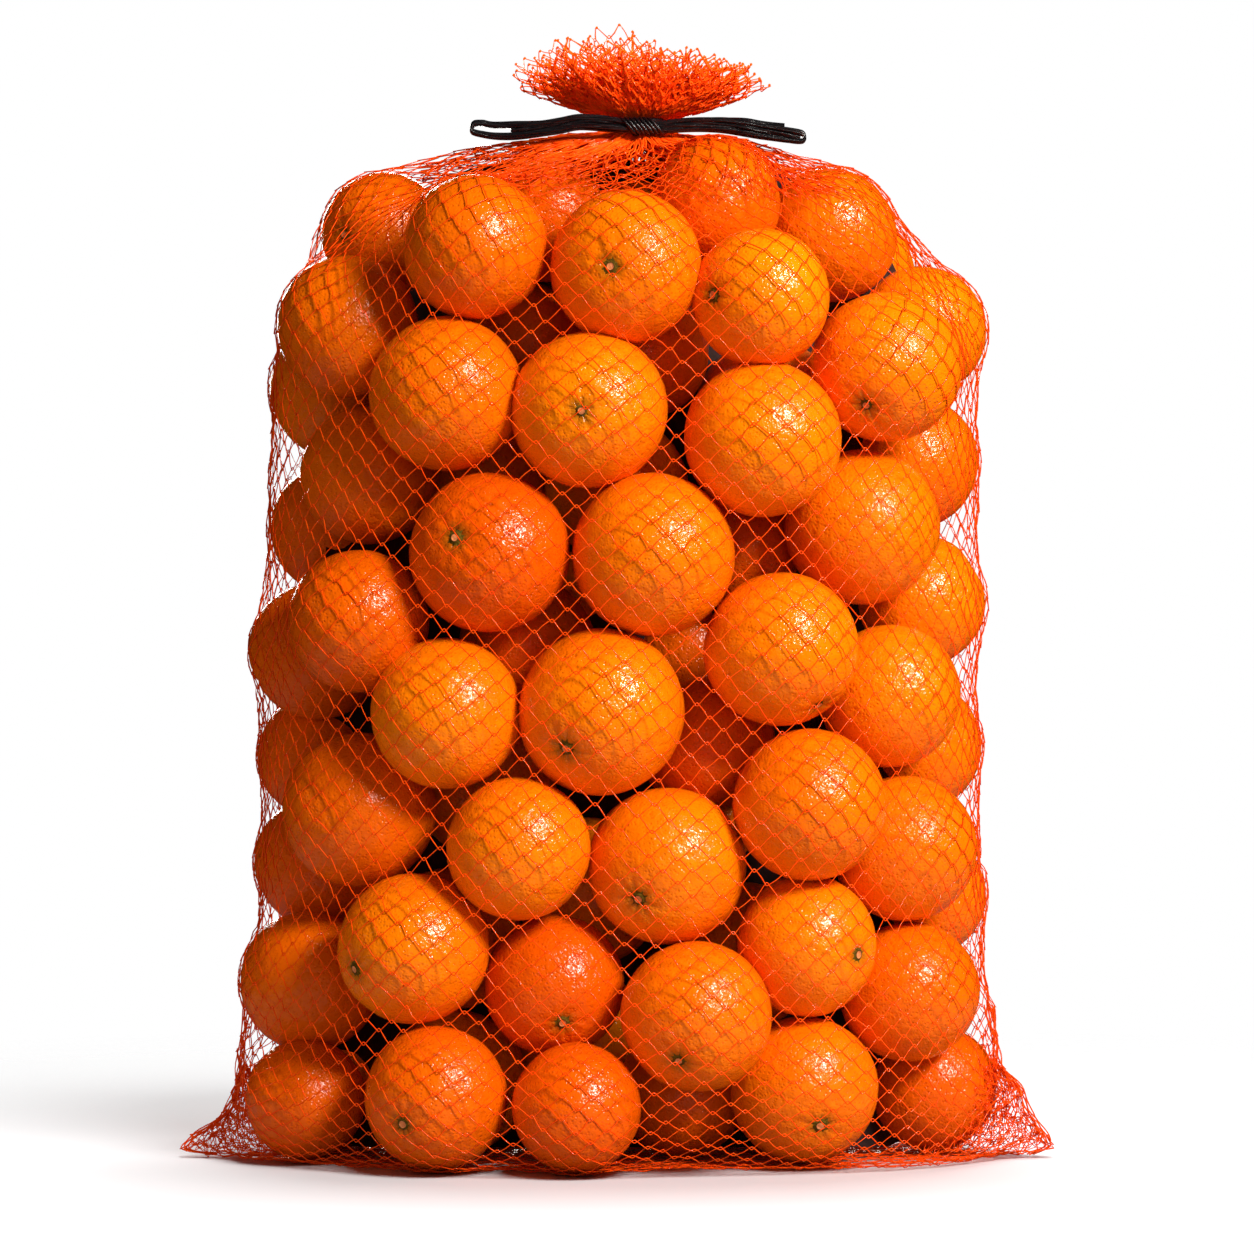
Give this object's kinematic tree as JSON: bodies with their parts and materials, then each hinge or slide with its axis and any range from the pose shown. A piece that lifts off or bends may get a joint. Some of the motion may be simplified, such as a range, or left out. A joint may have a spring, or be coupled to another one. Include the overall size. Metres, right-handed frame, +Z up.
{
  "type": "net of oranges",
  "caption": "Tall flat-bottomed mesh net packed with oranges, with seam ears at the floor, gathered and tied at the neck under a flared ruff.",
  "frame": {"origin": "on the floor under the middle of the sack", "axes": "+Z up from the floor to the ruff, +X along the bottom seam to the right ear, -Y out of the broad front face"},
  "size_m": [0.434, 0.2333, 0.5644],
  "materials": {
    "net": "glossy red-orange monofilament mesh",
    "tie_plastic": "glossy black strands",
    "orange_peel": "waxy pebbled peel",
    "stem_end": "dry green-brown stem ends with a pale centre"
  },
  "bodies": {
    "root": {"net_of_oranges": "net", "tie": "tie_plastic"}
  },
  "joints": []
}
